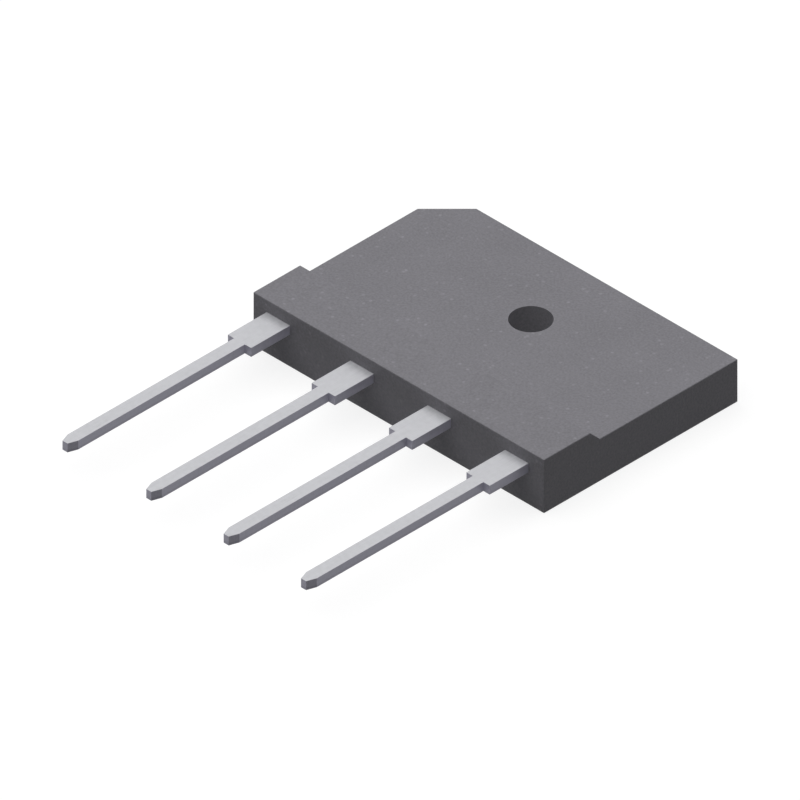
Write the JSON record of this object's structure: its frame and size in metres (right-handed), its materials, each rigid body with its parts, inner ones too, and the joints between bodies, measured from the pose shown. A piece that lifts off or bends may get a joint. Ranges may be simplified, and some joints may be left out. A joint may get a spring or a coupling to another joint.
{
  "type": "bridge rectifier",
  "caption": "Flat moulded in-line bridge rectifier with a thick bar at its row of leads, a screw hole and a cut corner.",
  "frame": {"origin": "on the axis of the screw hole, in the plane of the heatsink face", "axes": "+Z along the screw hole, from the heatsink face to the top face; +Y from the leads to the rear face; +X from the plus lead to the minus lead"},
  "size_m": [0.0301, 0.042, 0.0048],
  "materials": {
    "moulding_compound": "dark grey mineral-filled epoxy with a fine spark-eroded texture",
    "tinned_copper": "matte tin plating on copper sheet",
    "bare_copper": "plain rolled copper",
    "silicon": "metallised silicon",
    "solder": "dull solder"
  },
  "bodies": {
    "root": {"moulded_body": "moulding_compound", "lead_plus": "tinned_copper", "lead_ac_left": "tinned_copper", "lead_ac_right": "tinned_copper", "lead_minus": "tinned_copper", "chip_plus_left": "silicon", "chip_plus_right": "silicon", "chip_minus_left": "silicon", "chip_minus_right": "silicon", "solder_under_plus_left": "solder", "solder_under_plus_right": "solder", "solder_under_minus_left": "solder", "solder_under_minus_right": "solder", "solder_on_plus_left": "solder", "solder_on_plus_right": "solder", "solder_on_minus_left": "solder", "solder_on_minus_right": "solder", "clip_ac_left": "bare_copper", "clip_ac_right": "bare_copper", "clip_minus": "bare_copper", "solder_foot_ac_left": "solder", "solder_foot_ac_right": "solder", "solder_foot_minus": "solder"}
  },
  "joints": []
}
